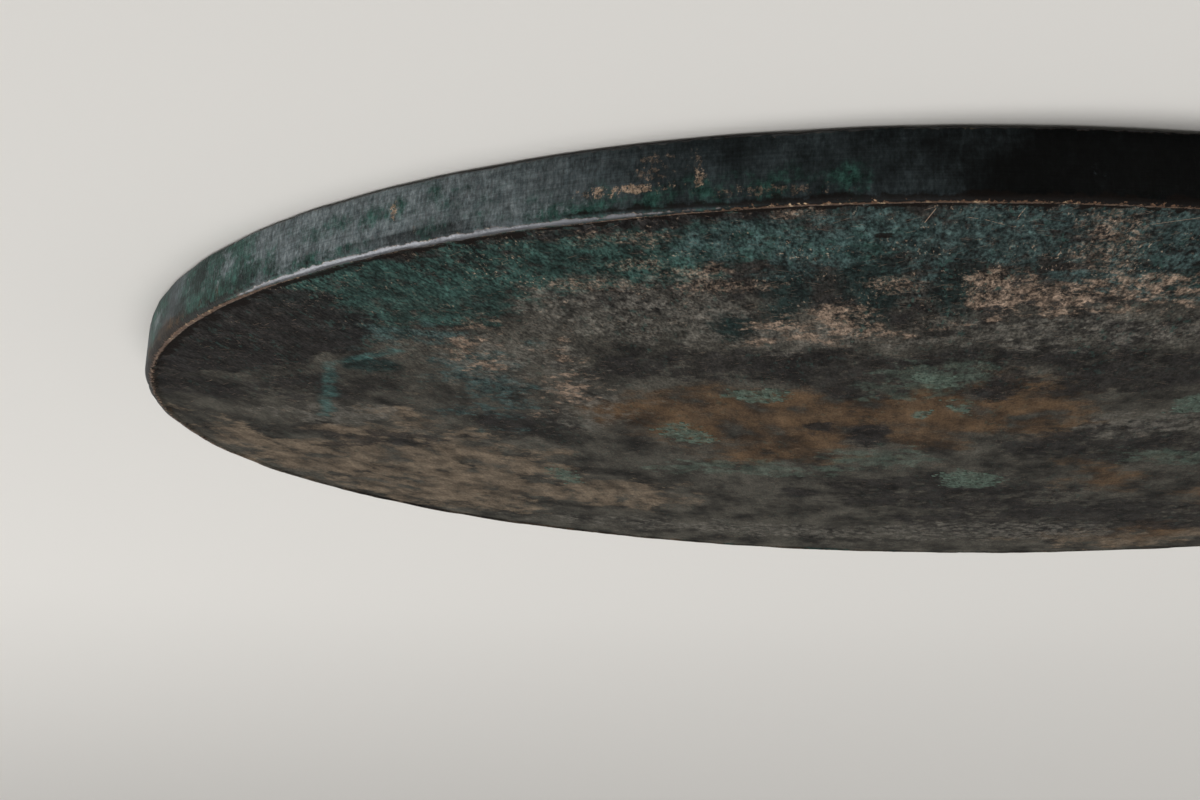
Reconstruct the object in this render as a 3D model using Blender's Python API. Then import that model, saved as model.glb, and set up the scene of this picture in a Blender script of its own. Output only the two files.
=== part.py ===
"""Cast bronze mirror: a plain round plate with a straight edge wall, a raised rim
round its back and a small pierced knob in the middle of the back, all one casting.

Metres, +Z up. The mirror lies face up on the raised rim of its back: the rim's
flat ring is at z = 0 and the polished face is at z = EDGE_HEIGHT. The cord hole
through the knob runs along X.
"""

import math

import bmesh
import bpy

# Outline of the plate
DIAMETER = 0.165
EDGE_HEIGHT = 0.0050
FACE_ARRIS = 0.0007
BACK_ARRIS = 0.00035

# Back: raised rim, field and one low ridge
FIELD_THICKNESS = 0.0017
RIM_WIDTH = 0.0070
RIM_SLOPE = 0.0018
RIM_SOFTENING = 0.0004
RIDGE_RADIUS = 0.0470
RIDGE_WIDTH = 0.0032
RIDGE_HEIGHT = 0.0009

# Knob on its low round seat, with the cord hole
SEAT_RADIUS = 0.0118
SEAT_SLOPE = 0.0009
SEAT_HEIGHT = 0.0005
KNOB_RADIUS = 0.0075
KNOB_CLEARANCE = 0.00035
HOLE_WIDTH = 0.0042
HOLE_HEIGHT = 0.0016
BRIDGE_THICKNESS = 0.00065

# Facets
SEGMENTS = 128
ARRIS_STEPS = 4
SOFTENING_STEPS = 2
RIDGE_STEPS = 6
KNOB_STEPS = 7
HOLE_END_STEPS = 6
MERGE_DISTANCE = 1e-6
SHARP_ANGLE = math.radians(40)

# Patinated bronze
BRONZE_COLOUR = (0.055, 0.085, 0.080, 1.0)
BRONZE_ROUGHNESS = 0.45
BRONZE_METALLIC = 0.6

RADIUS = DIAMETER / 2
FIELD_HEIGHT = EDGE_HEIGHT - FIELD_THICKNESS
SEAT_TOP = FIELD_HEIGHT - SEAT_HEIGHT
KNOB_HEIGHT = SEAT_TOP - KNOB_CLEARANCE


def clear_scene():
    for obj in list(bpy.data.objects):
        bpy.data.objects.remove(obj)


def arc(centre, radius, start, end, steps):
    """Points (radius, height) along an arc, angles in degrees from +X towards +Z."""
    points = []
    for step in range(steps + 1):
        angle = math.radians(start + (end - start) * step / steps)
        points.append((centre[0] + radius * math.cos(angle), centre[1] + radius * math.sin(angle)))
    return points


def face_and_wall():
    """From the middle of the face over its arris, down the wall and under the back arris."""
    face_corner = (RADIUS - FACE_ARRIS, EDGE_HEIGHT - FACE_ARRIS)
    back_corner = (RADIUS - BACK_ARRIS, BACK_ARRIS)
    points = [(0.0, EDGE_HEIGHT)]
    points += arc(face_corner, FACE_ARRIS, 90, 0, ARRIS_STEPS)
    points += arc(back_corner, BACK_ARRIS, 0, -90, ARRIS_STEPS - 1)
    return points


def raised_rim():
    """The rim's inner side: a softened corner, a slope and a hollow into the field."""
    inner = RADIUS - RIM_WIDTH
    steep = math.degrees(math.atan2(FIELD_HEIGHT, RIM_SLOPE))
    crest = (inner, RIM_SOFTENING)
    foot = (inner - RIM_SLOPE, FIELD_HEIGHT - RIM_SOFTENING)
    points = arc(crest, RIM_SOFTENING, -90, -90 - steep, SOFTENING_STEPS)
    points += arc(foot, RIM_SOFTENING, 90 - steep, 90, SOFTENING_STEPS)
    return points


def ridge():
    """A low rounded ridge, half a wave in section, standing out of the field."""
    points = []
    for step in range(RIDGE_STEPS + 1):
        share = step / RIDGE_STEPS
        radius = RIDGE_RADIUS + RIDGE_WIDTH * (0.5 - share)
        points.append((radius, FIELD_HEIGHT - RIDGE_HEIGHT * math.sin(math.pi * share)))
    return points


def seat_and_knob():
    """The seat's sloped edge and the domed knob, down to the knob's top on the axis."""
    points = [(SEAT_RADIUS, FIELD_HEIGHT), (SEAT_RADIUS - SEAT_SLOPE, SEAT_TOP)]
    for step in range(KNOB_STEPS):
        angle = math.pi / 2 * step / KNOB_STEPS
        points.append((KNOB_RADIUS * math.cos(angle), SEAT_TOP - KNOB_HEIGHT * math.sin(angle)))
    points.append((0.0, KNOB_CLEARANCE))
    return points


def turned_mesh(name, profile):
    """Closed mesh of a profile of (radius, height) points turned round Z."""
    bm = bmesh.new()
    verts = [bm.verts.new((radius, 0.0, height)) for radius, height in profile]
    edges = [bm.edges.new(pair) for pair in zip(verts, verts[1:])]
    bmesh.ops.spin(
        bm,
        geom=verts + edges,
        cent=(0.0, 0.0, 0.0),
        axis=(0.0, 0.0, 1.0),
        angle=2 * math.pi,
        steps=SEGMENTS,
        use_merge=True,
    )
    return finished_mesh(name, bm)


def hole_mesh(name):
    """A bar with round ends in section, lying along X through the knob."""
    end_radius = HOLE_HEIGHT / 2
    offset = HOLE_WIDTH / 2 - end_radius
    height = KNOB_CLEARANCE + BRIDGE_THICKNESS + end_radius
    outline = arc((offset, height), end_radius, -90, 90, HOLE_END_STEPS)
    outline += arc((-offset, height), end_radius, 90, 270, HOLE_END_STEPS)
    reach = 1.2 * KNOB_RADIUS
    bm = bmesh.new()
    section = bm.faces.new([bm.verts.new((-reach, y, z)) for y, z in outline])
    pulled = bmesh.ops.extrude_face_region(bm, geom=[section])["geom"]
    moved = [item for item in pulled if isinstance(item, bmesh.types.BMVert)]
    bmesh.ops.translate(bm, verts=moved, vec=(2 * reach, 0.0, 0.0))
    return finished_mesh(name, bm)


def finished_mesh(name, bm):
    """The mesh with doubles merged, faces outwards, smooth except at real edges."""
    bmesh.ops.remove_doubles(bm, verts=bm.verts, dist=MERGE_DISTANCE)
    bmesh.ops.recalc_face_normals(bm, faces=bm.faces)
    mesh = bpy.data.meshes.new(name)
    bm.to_mesh(mesh)
    bm.free()
    mesh.shade_smooth()
    mesh.set_sharp_from_angle(angle=SHARP_ANGLE)
    return mesh


def bronze():
    """Cast bronze under a dark green-black patina."""
    material = bpy.data.materials.new("patinated_bronze")
    material.use_nodes = True
    shader = material.node_tree.nodes["Principled BSDF"]
    shader.inputs["Base Color"].default_value = BRONZE_COLOUR
    shader.inputs["Roughness"].default_value = BRONZE_ROUGHNESS
    shader.inputs["Metallic"].default_value = BRONZE_METALLIC
    return material


def add_object(name, mesh):
    obj = bpy.data.objects.new(name, mesh)
    bpy.context.scene.collection.objects.link(obj)
    return obj


def main():
    clear_scene()
    profile = face_and_wall() + raised_rim() + ridge() + seat_and_knob()
    mirror = add_object("mirror_disc", turned_mesh("mirror_disc", profile))
    mirror.data.materials.append(bronze())

    hole = add_object("cord_hole", hole_mesh("cord_hole"))
    hole.hide_render = True
    hole.display_type = "WIRE"
    pierced = mirror.modifiers.new("Cord hole", "BOOLEAN")
    pierced.operation = "DIFFERENCE"
    pierced.solver = "EXACT"
    pierced.object = hole


main()
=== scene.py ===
"""Bronze mirror: the worn, patinated plate, its mineral crust and a plain studio."""

import math
from typing import NamedTuple

import bmesh
import bpy
import numpy as np
from bpy.props import FloatProperty, FloatVectorProperty, IntProperty, PointerProperty
from mathutils import Matrix, Vector


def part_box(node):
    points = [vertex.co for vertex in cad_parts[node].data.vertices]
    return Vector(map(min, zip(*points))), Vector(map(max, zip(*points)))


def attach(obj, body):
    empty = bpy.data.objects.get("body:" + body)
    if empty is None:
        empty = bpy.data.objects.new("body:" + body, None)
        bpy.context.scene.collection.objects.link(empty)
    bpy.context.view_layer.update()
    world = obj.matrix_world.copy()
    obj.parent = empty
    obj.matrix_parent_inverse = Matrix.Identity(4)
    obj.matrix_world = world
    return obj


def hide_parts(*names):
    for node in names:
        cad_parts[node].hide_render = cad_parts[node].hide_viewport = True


bl_info = {
    "name": "Bronze Mirror",
    "version": (1, 0, 0),
    "blender": (4, 5, 0),
    "location": "3D View > Sidebar > Mirror",
    "description": "Builds a plain cast bronze mirror with its patina, crust and studio",
    "category": "Object",
}

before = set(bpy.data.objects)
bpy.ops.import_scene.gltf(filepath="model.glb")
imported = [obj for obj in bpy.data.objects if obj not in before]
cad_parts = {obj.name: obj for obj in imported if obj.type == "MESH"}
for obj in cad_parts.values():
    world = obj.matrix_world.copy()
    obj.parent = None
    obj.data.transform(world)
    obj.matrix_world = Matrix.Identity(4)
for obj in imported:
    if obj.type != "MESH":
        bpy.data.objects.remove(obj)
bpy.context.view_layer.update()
NODE = "mirror_disc"
BODY = "root"

MM = 0.001
LOW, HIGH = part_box(NODE)
RADIUS_MM = (HIGH.x - LOW.x) / 2 / MM
EDGE_MM = (HIGH.z - LOW.z) / MM


# --- Colours ---


def linear(code):
    """Linear RGBA of an sRGB hex colour such as 2E4A45."""
    parts = [int(code[i : i + 2], 16) / 255 for i in (0, 2, 4)]
    return tuple(p / 12.92 if p <= 0.04045 else ((p + 0.055) / 1.055) ** 2.4 for p in parts) + (1.0,)


def colour_property(name, description, code):
    return FloatVectorProperty(
        name=name, description=description, subtype="COLOR", size=4, min=0, max=1, default=linear(code)
    )


def length_property(name, description, millimetres):
    return FloatProperty(
        name=name, description=description, default=millimetres * MM, min=0, unit="LENGTH", precision=5
    )


def angle_property(name, description, degrees):
    return FloatProperty(
        name=name, description=description, default=math.radians(degrees), subtype="ANGLE"
    )


# --- Settings ---


class MIRROR_PG_plate(bpy.types.PropertyGroup):
    """Sizes of the casting, as on the CAD solid, and of its worn relief."""

    face_arris: length_property("Face arris", "Rounding between the face and the wall", 0.7)
    back_arris: length_property("Back arris", "Rounding between the wall and the back rim", 0.35)
    face_sink: length_property("Face sink", "How far the face lies below the crest of its arris", 0.2)
    field: length_property("Field thickness", "Thickness inside the back rim", 1.7)
    rim: length_property("Rim width", "Width of the raised rim round the back", 7.0)
    slope: length_property("Rim slope", "Width of the slope down into the back field", 1.8)
    ridge_radius: length_property("Ridge radius", "Radius of the low ridge on the back", 47.0)
    ridge_width: length_property("Ridge width", "Width of the low ridge", 3.2)
    ridge_height: length_property("Ridge height", "Height of the low ridge", 0.9)
    seat_radius: length_property("Seat radius", "Radius of the round seat under the knob", 11.8)
    seat_height: length_property("Seat height", "Height of the seat above the field", 0.5)
    knob_radius: length_property("Knob radius", "Radius of the knob at its foot", 7.5)
    knob_clearance: length_property("Knob clearance", "How far the knob stops short of the rim plane", 0.35)
    hole_width: length_property("Hole width", "Width of the cord hole", 4.2)
    hole_height: length_property("Hole height", "Height of the cord hole", 1.6)
    bridge: length_property("Bridge", "Bronze left between the hole and the knob's top", 0.65)
    waviness: length_property("Waviness", "Height of the slow waves left by casting and scraping", 0.05)
    wear: length_property("Wear", "Depth of the worn and knocked places along the edges", 0.09)
    pitting: length_property("Pitting", "Depth of the corrosion pits", 0.11)
    crust: length_property("Crust", "Height of the mineral crust", 0.11)
    seed: IntProperty(name="Seed", description="Picks another wear and pitting", default=7, min=0)


class MIRROR_PG_patina(bpy.types.PropertyGroup):
    """Colours of the metal and of the dark line beside it, which is dirt and painted shade. The tones of
    each patina join them below.
    """

    metal: colour_property("Bare metal", "Bronze with the patina rubbed off", "6E5442")
    glint: colour_property("Glint", "Specks of the bare metal burnished bright", "D0B492")
    silver: colour_property("Tinned metal", "Tin-rich skin polished by handling", "5F6063")
    # The rim line is dirt and painted shade: it darkens the foot of the arris, the brow over the arris's
    # rounding, the back's corners and the dents.
    rim_line: colour_property("Rim line", "Brown dirt along the foot of the arris", "120D0A")


# Each patina's title, what it is, and its dark and light tones.
PATINAS = {
    "grey": ("Grey", "Lead-grey tin oxide", "1E1D1B", "4C4942"),
    "charcoal": ("Charcoal", "Black patina", "0E0D0D", "2B2928"),
    "teal": ("Teal", "Copper carbonate stain", "0E1A18", "35504A"),
    "verdigris": ("Verdigris", "Copper carbonate in the wall's skin", "0F211E", "385E55"),
    "ash": ("Ash", "Grey corrosion dust", "3B3A36", "7B766D"),
    "fleck": ("Flecks", "Copper-pink metal in the wall's skin", "6A5848", "C4AB94"),
    "mist": ("Mist", "Blue-grey carbonate film", "10191A", "435654"),
    "iron": ("Iron grey", "Smooth blue-grey skin of the wall", "1A2123", "3C4548"),
    "slate": ("Slate", "Blue-black patina", "0B1414", "22312F"),
    "tan": ("Tan", "Copper-pink metal under earth and thin oxide", "40372F", "9A8472"),
    "rust": ("Rust", "Cuprite, brown where thick and ochre with burial earth", "2B2119", "604B36"),
    "mint": ("Mint", "Powdery carbonate crust", "39423A", "5B6A5F"),
    "stone": ("Stone", "Dried burial earth", "40382F", "7A6B5A"),
    # Pewter is tin-rich skin and partly painted sheen: its light grey also stands in for the key light's
    # sheen on the wall's lit side.
    "pewter_and_sheen": ("Pewter", "Smooth tin-rich skin of the wall, rubbed by hands", "4E585B", "7F888B"),
    # Pitch is dark sulphide and partly painted shade: its near-black stands in for the shade on the wall's
    # side away from the key light.
    "pitch": ("Pitch", "Near-black sulphide of the sheltered wall", "020303", "060808"),
    "tide": ("Tide line", "Blue-teal line left by drying water", "213634", "466460"),
}
for tones, (title, matter, *codes) in PATINAS.items():
    for shade, code in zip(("dark", "light"), codes):
        colour = colour_property(f"{title}, {shade}", matter, code)
        MIRROR_PG_patina.__annotations__[f"{tones}_{shade}"] = colour


class MIRROR_PG_crust(bpy.types.PropertyGroup):
    """The small warts that grow on the crust."""

    density: FloatProperty(
        name="Density", description="Warts for each square centimetre of crust", default=110.0, min=0
    )
    size: length_property("Size", "Radius of a middling wart", 0.28)
    seed: IntProperty(name="Seed", description="Picks other places for the warts", default=3, min=0)


class MIRROR_PG_stage(bpy.types.PropertyGroup):
    """Studio: where the camera stands and how strong the lights are."""

    distance: length_property("Camera distance", "From the middle of the face", 175.6)
    elevation: angle_property("Elevation", "Camera above the face", 11.19)
    yaw: angle_property("Yaw", "Camera turned off the middle", -10.96)
    pitch: angle_property("Pitch", "Camera tipped off the middle", -2.06)
    roll: angle_property("Roll", "Camera rolled over its own axis", 179.38)
    lens: FloatProperty(
        name="Lens", description="Focal length", default=45.0, min=1, subtype="DISTANCE_CAMERA"
    )
    key: FloatProperty(name="Key", description="Key light", default=3.0, min=0, subtype="POWER")
    spread: angle_property("Spread", "How wide the key light's grid lets it fan out", 90)
    fill: FloatProperty(name="Fill", description="Overhead fill light", default=56.0, min=0, subtype="POWER")
    sky: FloatProperty(name="Sky", description="Strength of the even light all round", default=0.2, min=0)
    floor: colour_property("Floor", "Pale painted floor", "DAD7D2")


# --- Shared node helpers ---


def in_use(sockets, name=None):
    """The first socket in use, or the first of that name."""
    return next(s for s in sockets if s.enabled and name in (None, s.name))


def add(tree, kind, *inputs, **settings):
    """Add a node of a kind such as Math:ADD, a shader node's if it has no Node in its name.

    Inputs are values, sockets or nodes, in the order of its sockets, or by name in a dictionary.
    A node stands for its first output in use. Settings are the new node's properties.
    """
    kind, _, operation = kind.partition(":")
    made = tree.nodes.new(kind if "Node" in kind else "ShaderNode" + kind)
    if operation:
        made.operation = operation
    for name, value in settings.items():
        setattr(made, name, value)
    for k, given in enumerate(inputs):
        for name, value in (given if isinstance(given, dict) else {None: given}).items():
            socket = in_use(made.inputs, name) if name else made.inputs[k]
            if isinstance(value, bpy.types.Node):
                value = in_use(value.outputs)
            if isinstance(value, bpy.types.NodeSocket):
                tree.links.new(value, socket)
            else:
                socket.default_value = value
    return made


# --- Plate: the turned mesh ---

# The finishes, how long cells are for their width, and the steps round each curve.
FACE, WALL, BACK = range(3)
CELL_STRETCH = 1.2
ARRIS_STEPS = 16
WALL_STEPS = 9
SOFT_STEPS = 4
RIDGE_STEPS = 10
KNOB_STEPS = 18
HOLE_STEPS = 12
# Where on the arris the face's finish ends, in degrees up from outwards.
CREST_ANGLE = 84.0
# Sizes in mm. The groove inside the arris is at its depth between the two shares of its width.
GROOVE_WIDTH = 1.1
GROOVE_DEPTH = 0.05
GROOVE_FLOOR = (0.6, 0.3)
INNERMOST = 1.0
RIM_SOFTENING = 0.4
SEAT_SLOPE = 0.9
# The cutter's half length, in knob radii.
CUTTER_REACH = 1.2
# Clear space in mm at the outer and the inner end of each run of plain rings.
RIM_GAPS = (0.8, 0.3)
FIELD_GAPS = (1.0, 0.5)
MIDDLE_GAPS = (1.0, 0.7)


class Grid(NamedTuple):
    """How fine the mesh is: points round the widest rings, the radius where they halve, and the least."""

    finest: int
    radius: float
    least: int


FACE_GRID = Grid(768, 58.0, 24)
BACK_GRID = Grid(384, 58.0, 96)


class Ring(NamedTuple):
    """A ring of points round the axis, in mm, and the finish of the faces up to the next ring."""

    radius: float
    height: float
    count: int
    finish: int


def points_round(radius, grid):
    """Points on a ring: halved each time the radius halves, so that cells stay nearly square."""
    halvings = max(0, math.ceil(math.log2(grid.radius / radius)))
    return max(grid.least, grid.finest >> halvings)


def plain_radii(start, stop, grid):
    """Radii from start to just short of stop, with gaps that match the cells' width."""
    way = math.copysign(1.0, stop - start)
    radius = start
    radii = []
    while (stop - radius) * way > 0:
        radii.append(radius)
        radius += way * CELL_STRETCH * 2 * math.pi * radius / points_round(radius, grid)
    return radii


def arc(centre, radius, start, end, steps):
    """Points (radius, height) along an arc, angles in degrees from outwards towards up."""
    angles = np.radians(np.linspace(start, end, steps + 1))
    return [(centre[0] + radius * math.cos(a), centre[1] + radius * math.sin(a)) for a in angles]


def rings(points, grid, finish):
    """A ring through each point (radius, height), all of one finish."""
    return [Ring(r, z, points_round(r, grid), finish) for r, z in points]


def arris_rings(plate):
    """From the groove over the lip and the arris: points on the face's side, then on the wall's."""
    over = plate.face_arris / MM
    start = 180 - math.degrees(math.asin(1 - (plate.face_sink / MM + GROOVE_DEPTH) / over))
    points = arc((RADIUS_MM - over, EDGE_MM - over), over, start, 0, ARRIS_STEPS)
    crest = round(ARRIS_STEPS * (start - CREST_ANGLE) / start)
    return points[:crest], points[crest:]


def face_rings(plate):
    """From near the middle of the face out to the groove and up to the arris's crest."""
    level = EDGE_MM - plate.face_sink / MM
    lip = arris_rings(plate)[0]
    edge = lip[0][0] - GROOVE_WIDTH
    radii = plain_radii(edge, INNERMOST, FACE_GRID)[::-1]
    groove = [(lip[0][0] - share * GROOVE_WIDTH, level - GROOVE_DEPTH) for share in GROOVE_FLOOR]
    return rings([(r, level) for r in radii] + groove + lip, FACE_GRID, FACE)


def wall_rings(plate):
    """From the crest of the arris down the wall and round the back arris."""
    under = plate.back_arris / MM
    crest = arris_rings(plate)[1]
    heights = np.linspace(crest[-1][1], under, WALL_STEPS + 1)[1:-1]
    heel = arc((RADIUS_MM - under, under), under, 0, -90, SOFT_STEPS)
    points = crest + [(RADIUS_MM, z) for z in heights] + heel[:-1]
    return rings(points, FACE_GRID, WALL) + rings(heel[-1:], FACE_GRID, BACK)


def back_rings(plate):
    """The raised rim, the field with its low ridge, the seat and the knob."""
    field = EDGE_MM - plate.field / MM
    inner = RADIUS_MM - plate.rim / MM
    slope = plate.slope / MM
    steep = math.degrees(math.atan2(field, slope))
    outer = RADIUS_MM - plate.back_arris / MM
    points = [(r, 0.0) for r in plain_radii(outer - RIM_GAPS[0], inner + RIM_GAPS[1], BACK_GRID)]
    points += arc((inner, RIM_SOFTENING), RIM_SOFTENING, -90, -90 - steep, SOFT_STEPS)
    foot = (inner - slope, field - RIM_SOFTENING)
    points += arc(foot, RIM_SOFTENING, 90 - steep, 90, SOFT_STEPS)

    ridge = plate.ridge_radius / MM
    half = plate.ridge_width / MM / 2
    start, stop = foot[0] - FIELD_GAPS[0], ridge + half + FIELD_GAPS[1]
    points += [(r, field) for r in plain_radii(start, stop, BACK_GRID)]
    for share in np.linspace(0, 1, RIDGE_STEPS + 1):
        height = plate.ridge_height / MM * math.sin(math.pi * share)
        points.append((ridge + half * (1 - 2 * share), field - height))

    seat = plate.seat_radius / MM
    seat_top = field - plate.seat_height / MM
    knob = plate.knob_radius / MM
    start, stop = ridge - half - MIDDLE_GAPS[0], seat + MIDDLE_GAPS[1]
    points += [(r, field) for r in plain_radii(start, stop, BACK_GRID)]
    shoulder = seat - SEAT_SLOPE
    points += [(seat, field), ((seat + shoulder) / 2, (field + seat_top) / 2), (shoulder, seat_top)]
    points += [((shoulder + knob) / 2, seat_top)]
    rise = seat_top - plate.knob_clearance / MM
    for angle in np.linspace(0, math.pi / 2, KNOB_STEPS + 1)[:-1]:
        points.append((knob * math.cos(angle), seat_top - rise * math.sin(angle)))
    return rings(points, BACK_GRID, BACK)


def bridged(first, second, start, next_start):
    """Faces between two rings whose counts are equal, or where one has twice the other's."""
    n, m = first.count, second.count
    faces = []
    for k in range(min(n, m)):
        j = (k + 1) % min(n, m)
        pair = (2 * k, 2 * k + 1, 2 * k + 2)
        if n == m:
            faces.append((start + k, next_start + k, next_start + j, start + j))
        elif n > m:
            a, b, c = (start + i % n for i in pair)
            d, e = next_start + k, next_start + j
            faces += [(a, d, b), (b, d, e), (b, e, c)]
        else:
            a, b, c = (next_start + i % m for i in pair)
            d, e = start + k, start + j
            faces += [(d, a, b), (d, b, e), (e, b, c)]
    return faces


def turned_mesh(name, path, top, bottom):
    """A closed turned mesh in metres through the rings, with a point on the axis at each end."""
    points = [(0.0, 0.0, top)]
    starts = []
    for ring in path:
        starts.append(len(points))
        angles = 2 * math.pi * np.arange(ring.count) / ring.count
        points += [(ring.radius * math.cos(a), ring.radius * math.sin(a), ring.height) for a in angles]
    points.append((0.0, 0.0, bottom))

    last = len(points) - 1
    first, final = path[0], path[-1]
    faces = [(0, starts[0] + k, starts[0] + (k + 1) % first.count) for k in range(first.count)]
    finishes = [first.finish] * len(faces)
    for k in range(len(path) - 1):
        made = bridged(path[k], path[k + 1], starts[k], starts[k + 1])
        faces += made
        finishes += [path[k].finish] * len(made)
    closing = [(starts[-1] + k, last, starts[-1] + (k + 1) % final.count) for k in range(final.count)]
    faces += closing
    finishes += [final.finish] * len(closing)

    mesh = bpy.data.meshes.new(name)
    mesh.from_pydata(np.array(points) * MM, [], faces)
    mesh.attributes.new("finish", "INT", "FACE").data.foreach_set("value", finishes)
    return mesh


def link(name, data):
    """A new object in the scene that shows the data."""
    obj = bpy.data.objects.new(name, data)
    bpy.context.scene.collection.objects.link(obj)
    return obj


def evaluated_mesh(obj, name):
    """A plain mesh of the object as its modifiers leave it. The object is removed."""
    graph = bpy.context.evaluated_depsgraph_get()
    made = obj.evaluated_get(graph)
    mesh = bpy.data.meshes.new_from_object(made, preserve_all_data_layers=True, depsgraph=graph)
    mesh.name = name
    bpy.data.objects.remove(obj)
    return mesh


def hole_cutter(plate):
    """A bar with round ends in section, lying along X through the knob."""
    end = plate.hole_height / 2
    offset = plate.hole_width / 2 - end
    height = plate.knob_clearance + plate.bridge + end
    outline = arc((offset, height), end, -90, 90, HOLE_STEPS)
    outline += arc((-offset, height), end, 90, 270, HOLE_STEPS)
    reach = CUTTER_REACH * plate.knob_radius
    bm = bmesh.new()
    section = bm.faces.new([bm.verts.new((-reach, y, z)) for y, z in outline])
    pulled = bmesh.ops.extrude_face_region(bm, geom=[section])["geom"]
    moved = [item for item in pulled if isinstance(item, bmesh.types.BMVert)]
    bmesh.ops.translate(bm, verts=moved, vec=(2 * reach, 0.0, 0.0))
    bmesh.ops.recalc_face_normals(bm, faces=bm.faces)
    mesh = bpy.data.meshes.new("cord_hole")
    bm.to_mesh(mesh)
    bm.free()
    mesh.attributes.new("finish", "INT", "FACE").data.foreach_set("value", [BACK] * len(mesh.polygons))
    return link("cord_hole", mesh)


def pierced_plate(plate):
    """The turned plate with the cord hole cut through its knob."""
    path = face_rings(plate) + wall_rings(plate) + back_rings(plate)
    mesh = turned_mesh("plate", path, EDGE_MM - plate.face_sink / MM, plate.knob_clearance / MM)
    body = link("plate_blank", mesh)
    cutter = hole_cutter(plate)
    cut = body.modifiers.new("Cord hole", "BOOLEAN")
    cut.operation = "DIFFERENCE"
    cut.solver = "EXACT"
    cut.object = cutter
    pierced = evaluated_mesh(body, "plate")
    bpy.data.objects.remove(cutter)
    return pierced


# --- Covers: where each part of the patina lies ---


# Covers stop counting this far outside a patch, in mm.
FARTHEST = 9.0

# Ovals on the face: where the middle lies, the half axes in mm, and the turn in degrees anticlockwise.
FACE_COVERS = {
    "stone": (
        (60, 15.5, 18, 30, -8), (77, -7, 7, 12, 10), (38, 31, 10, 10, -8), (-33.5, 61, 12, 7, 20),
        (-62, -20, 9, 15, 10),
    ),
    "rust": (
        (14.5, -19, 15, 14, 4), (-8, -23.5, 12, 13, -10), (11.5, -2, 8, 7), (-3.3, -7.6, 4, 6),
        (-24, 12.4, 3, 7), (-36.7, 57.5, 3, 8), (-48, 22, 13, 9, 30),
    ),
    "charcoal": (
        (57.5, -55, 15, 12, 30), (63.5, -46, 10, 7), (18.8, -77.8, 12, 1, 13), (7.2, -14.8, 1.5, 2.8),
        (-9.9, -31, 2, 4.2, 4), (2.6, -11.5, 2.2, 5.5),
    ),
    "soot": (
        (2, -40, 24, 6.5, -4), (-17.1, -42.9, 8, 5), (2.7, -30.5, 3.4, 5), (-20, -39, 9, 7),
        (-22, -10, 9, 11), (70.5, -38, 6, 8, -10), (61, -33, 9, 5), (39.9, -15.9, 3.5, 6),
        (59.2, -7.8, 8, 3.5), (-6.5, 25.5, 18, 12, -12), (-24, 44, 22, 16, 20), (-40, -8, 12, 7, 30),
        (2.5, -73.5, 62, 14), (1, -62, 6, 8, -4), (-19.1, -52.8, 12, 4, 6),
    ),
    "slate": (
        (7.2, -62.1, 1.8, 8.4, -8), (1.3, -63.9, 2.6, 8.5), (-4.9, -62.9, 1.6, 7, 2),
        (12.9, -53.5, 1.8, 3.8), (48.5, -41.3, 3, 2.6, 20), (-26, -66, 6, 5, 20),
    ),
    "teal": (
        (38, -63.5, 12.5, 9, 24), (23.5, -70.5, 13, 6.5, 12), (9.8, -73.1, 10, 4.5, 4),
        (-58, 44, 14, 8, -50),
    ),
    "mist": (
        (-3, -74.5, 17, 6.5), (-21, -70, 11, 7.5, -16), (-34, -64, 10, 8, -28), (42.6, -51.2, 4, 5),
        (39.4, -32.6, 3, 12, -12),
    ),
    "ash": (
        (20.5, -58.5, 8.5, 8.5, 10), (34.5, -43.5, 4.5, 7, -12), (30.4, -22.8, 4, 9, -8),
        (7.7, -50, 10, 3.5), (59.3, -20.6, 6, 4.5, 20), (-14.1, -51.7, 9, 4), (-12.5, 58, 18, 8, 8),
        (22, 60, 24, 6, -14), (-25, -17, 5, 5),
    ),
    "tan": (
        (-9.7, -62.9, 4.8, 4.8, -6), (-18, -63.3, 4.8, 2.8, -12), (4.5, -52.5, 5.6, 3.2),
        (36.6, -46.4, 1.6, 4, -12), (31, -33.6, 1.4, 5, -12), (-44, -38, 9, 5, -40),
    ),
    "mint": (
        (12.6, -29.3, 3, 2.8, 10), (22.3, -10.8, 2.6, 4.8, 6), (-3.9, -35.5, 1.6, 3.2, 20),
        (-2.9, -21.9, 0.6, 1.8), (-6.8, -24.3, 0.8, 2.6, 6), (-28.6, -26.9, 2.2, 3.8),
        (-9.7, 14.6, 3.4, 6), (-52, 30, 4.2, 3, 20), (-58, 2, 3, 2.2), (41.6, 16.2, 1.4, 5),
    ),
    "sage": (
        (17.4, 9.2, 11, 4.5, -4), (1.6, 1.6, 6, 5.5, 30), (-2.5, -34.5, 4, 7, -24),
        (-33.9, -0.3, 9, 4, -10),
    ),
    "frost": (
        (-14.6, -73.6, 2, 7, 4), (18, -75.5, 3, 1), (5.8, -80.1, 1.6, 0.8),
        (17.8, -69.4, 1.6, 1.2), (14.1, -68.1, 2.4, 1.4), (22.5, -65.2, 3.2, 1.6), (-0.2, -64.2, 1.6, 2),
        (12.7, -64.4, 3, 1.6),
    ),
}

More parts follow.
